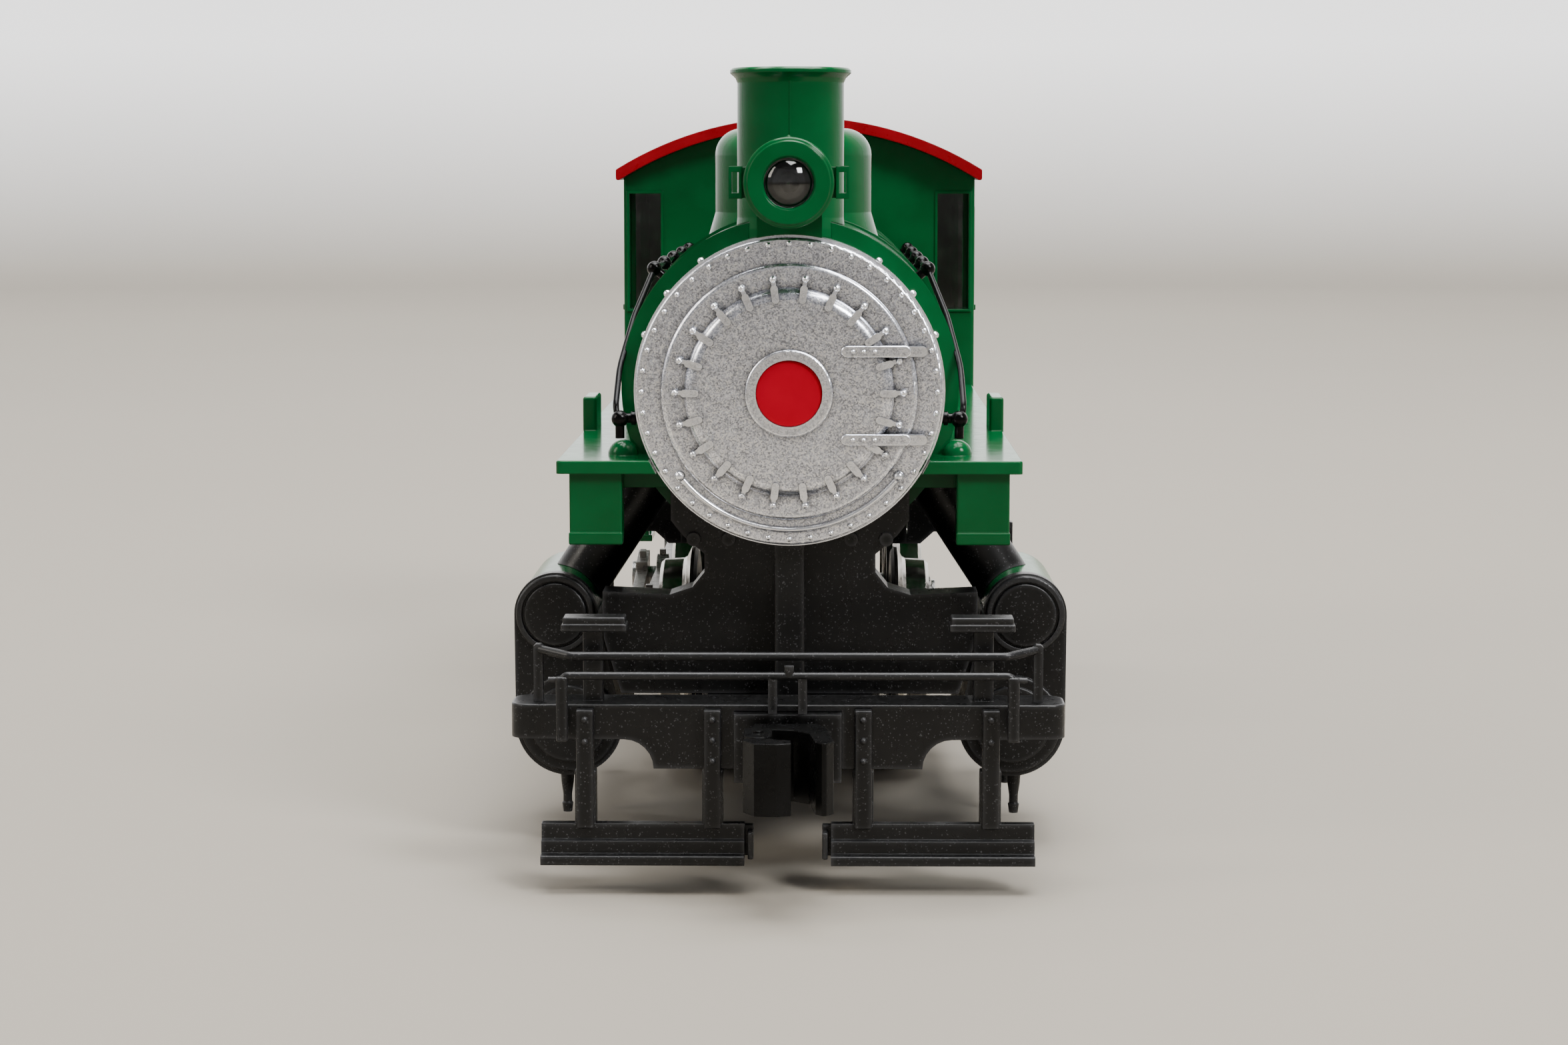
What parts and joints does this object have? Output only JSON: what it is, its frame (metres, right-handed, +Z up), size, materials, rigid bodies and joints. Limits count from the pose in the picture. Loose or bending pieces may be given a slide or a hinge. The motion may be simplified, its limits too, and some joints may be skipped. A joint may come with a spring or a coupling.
{
  "type": "model train",
  "caption": "Toy-scale steam switching locomotive with six coupled drivers, rods, motor drive, footboard pilot, knuckle coupler, open cab and rear drawbar.",
  "frame": {"origin": "under the middle of the engine, level with the bottom of the wheel flanges", "axes": "+Z up, -Y towards the front of the engine, +X towards the engine's left side (the viewer's right, seen from the front)"},
  "size_m": [0.0366, 0.112, 0.0515],
  "materials": {
    "green_plastic": "gloss moulded plastic",
    "silver_plastic": "silver plastic with fine metal flake",
    "black_plastic": "satin moulded plastic with a fine speckle",
    "gloss_black": "gloss black moulded wire",
    "coupler_plastic": "satin engineering plastic",
    "red_plate": "satin red",
    "red_roof": "satin red",
    "clear_plastic": "clear",
    "bulb_glass": "clear",
    "cast_zinc": "blackened zinc casting",
    "bright_steel": "turned",
    "motor_steel": "plated pressed steel",
    "brass_parts": "plain",
    "nickel_tyre": "nickel plated",
    "nickel_rods": "nickel plated, dulled",
    "gear_plastic": "acetal",
    "board_green": "glass-fibre board"
  },
  "bodies": {
    "chassis": {"frame_left": "cast_zinc", "frame_right": "cast_zinc", "frame_spacers": "black_plastic", "chassis_screws": "bright_steel", "keeper_plate": "black_plastic", "axle_bearings": "brass_parts", "pickup_strips": "brass_parts", "motor_cradle": "black_plastic", "motor_can": "motor_steel", "crosshead_guides": "black_plastic", "cylinder_blocks": "black_plastic", "saddle": "black_plastic", "steam_pipes": "black_plastic", "pilot_beam": "black_plastic", "footboards": "black_plastic", "pilot_handrail": "black_plastic", "uncoupling_lever": "black_plastic", "coupler_pocket": "black_plastic", "smokebox_front": "silver_plastic", "number_plate": "red_plate", "smokebox_ring": "silver_plastic", "smokestack": "green_plastic", "headlight_case": "green_plastic", "headlight_lens": "clear_plastic", "headlight_bulb": "bulb_glass", "boiler_shell": "green_plastic", "domes": "green_plastic", "bell": "brass_parts", "safety_valves": "brass_parts", "boiler_weight": "cast_zinc", "circuit_board": "board_green", "running_boards": "green_plastic", "handrails": "gloss_black", "cab_shell": "green_plastic", "cab_roof": "red_roof", "cab_glazing": "clear_plastic", "backhead": "black_plastic"},
    "front_wheelset": {"front_axle": "bright_steel", "front_wheels": "black_plastic", "front_tyres": "nickel_tyre"},
    "main_wheelset": {"main_axle": "bright_steel", "main_wheels": "black_plastic", "main_tyres": "nickel_tyre", "axle_gear": "gear_plastic"},
    "rear_wheelset": {"rear_axle": "bright_steel", "rear_wheels": "black_plastic", "rear_tyres": "nickel_tyre"},
    "motor_rotor": {"motor_armature": "motor_steel", "flywheel": "brass_parts", "worm": "black_plastic"},
    "idler": {"idler_gear": "gear_plastic"},
    "side_rod_left": {"side_rod_left": "nickel_rods"},
    "side_rod_right": {"side_rod_right": "nickel_rods"},
    "main_rod_left": {"main_rod_left": "nickel_rods"},
    "main_rod_right": {"main_rod_right": "nickel_rods"},
    "crosshead_left": {"crosshead_left": "nickel_rods"},
    "crosshead_right": {"crosshead_right": "nickel_rods"},
    "coupler": {"front_coupler": "coupler_plastic"},
    "knuckle": {"coupler_knuckle": "coupler_plastic"},
    "drawbar": {"drawbar": "black_plastic"}
  },
  "joints": [
    {"name": "main_wheels_spin", "type": "hinge", "parent": "chassis", "child": "main_wheelset", "pos_m": [0, 0.01285, 0.00835], "axis": [1, 0, 0], "continuous": true},
    {"name": "front_wheels_spin", "type": "hinge", "parent": "chassis", "child": "front_wheelset", "pos_m": [0, -0.0064, 0.00835], "axis": [1, 0, 0], "continuous": true},
    {"name": "rear_wheels_spin", "type": "hinge", "parent": "chassis", "child": "rear_wheelset", "pos_m": [0, 0.0321, 0.00835], "axis": [1, 0, 0], "continuous": true},
    {"name": "motor_spin", "type": "hinge", "parent": "chassis", "child": "motor_rotor", "pos_m": [0, 0.01285, 0.02625], "axis": [0, 1, 0], "continuous": true},
    {"name": "idler_spin", "type": "hinge", "parent": "chassis", "child": "idler", "pos_m": [0, 0.01285, 0.01835], "axis": [1, 0, 0], "continuous": true},
    {"name": "side_rod_left_pivot", "type": "hinge", "parent": "main_wheelset", "child": "side_rod_left", "pos_m": [0.01095, 0.00925, 0.00835], "axis": [1, 0, 0], "continuous": true},
    {"name": "main_rod_left_pivot", "type": "hinge", "parent": "main_wheelset", "child": "main_rod_left", "pos_m": [0.01255, 0.00925, 0.00835], "axis": [1, 0, 0], "continuous": true},
    {"name": "crosshead_left_slide", "type": "slide", "parent": "chassis", "child": "crosshead_left", "axis": [0, 1, 0], "range_m": [0, 0.0072]},
    {"name": "side_rod_right_pivot", "type": "hinge", "parent": "main_wheelset", "child": "side_rod_right", "pos_m": [-0.01095, 0.01285, 0.01195], "axis": [1, 0, 0], "continuous": true},
    {"name": "main_rod_right_pivot", "type": "hinge", "parent": "main_wheelset", "child": "main_rod_right", "pos_m": [-0.01255, 0.01285, 0.01195], "axis": [1, 0, 0], "continuous": true},
    {"name": "crosshead_right_slide", "type": "slide", "parent": "chassis", "child": "crosshead_right", "axis": [0, 1, 0], "range_m": [-0.00385, 0.00335]},
    {"name": "coupler_swing", "type": "hinge", "parent": "chassis", "child": "coupler", "pos_m": [0, -0.0448, 0.0091], "axis": [0, 0, 1], "range_deg": [-10, 10]},
    {"name": "knuckle_swing", "type": "hinge", "parent": "coupler", "child": "knuckle", "pos_m": [-0.00175, -0.0524, 0.0088], "axis": [0, 0, 1], "range_deg": [-25, 0]},
    {"name": "drawbar_swing", "type": "hinge", "parent": "chassis", "child": "drawbar", "pos_m": [0, 0.0456, 0.00745], "axis": [0, 0, 1], "range_deg": [-20, 20]}
  ],
  "couplings": [
    {"joint": "front_wheels_spin", "follows": "main_wheels_spin", "ratio": 1},
    {"joint": "rear_wheels_spin", "follows": "main_wheels_spin", "ratio": 1},
    {"joint": "idler_spin", "follows": "main_wheels_spin", "ratio": -0.66667},
    {"joint": "motor_spin", "follows": "main_wheels_spin", "ratio": -20},
    {"joint": "side_rod_left_pivot", "follows": "main_wheels_spin", "ratio": -1},
    {"joint": "main_rod_left_pivot", "follows": "main_wheels_spin", "ratio": -1},
    {"joint": "side_rod_right_pivot", "follows": "main_wheels_spin", "ratio": -1},
    {"joint": "main_rod_right_pivot", "follows": "main_wheels_spin", "ratio": -1}
  ]
}
